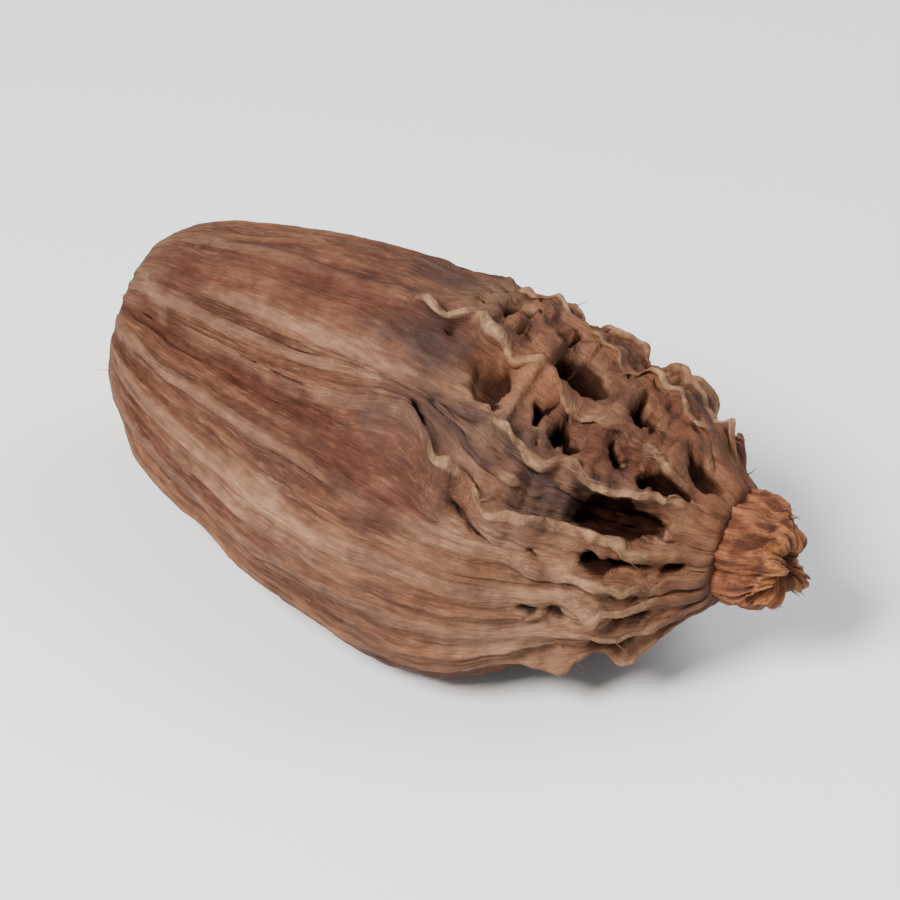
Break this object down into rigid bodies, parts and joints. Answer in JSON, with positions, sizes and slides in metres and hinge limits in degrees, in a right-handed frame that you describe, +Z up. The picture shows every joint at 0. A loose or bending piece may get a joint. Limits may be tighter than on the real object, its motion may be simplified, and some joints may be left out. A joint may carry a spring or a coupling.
{
  "type": "black cardamom pod",
  "caption": "Dried black cardamom pod lying on its side: a ribbed husk that rises into thin wavy wings round the withered calyx. A smoky spice, used whole.",
  "frame": {"origin": "on the surface that the pod rests on, below the middle of the pod's box", "axes": "+X runs along the pod from the stalk scar to the calyx, +Z is up, and the pod's height is its shortest extent"},
  "size_m": [0.035, 0.0185, 0.0167],
  "materials": {
    "husk": "dry, papery and fibrous, matte",
    "calyx": "dry and fibrous, matte"
  },
  "bodies": {
    "root": {"husk": "husk", "calyx": "calyx"}
  },
  "joints": []
}
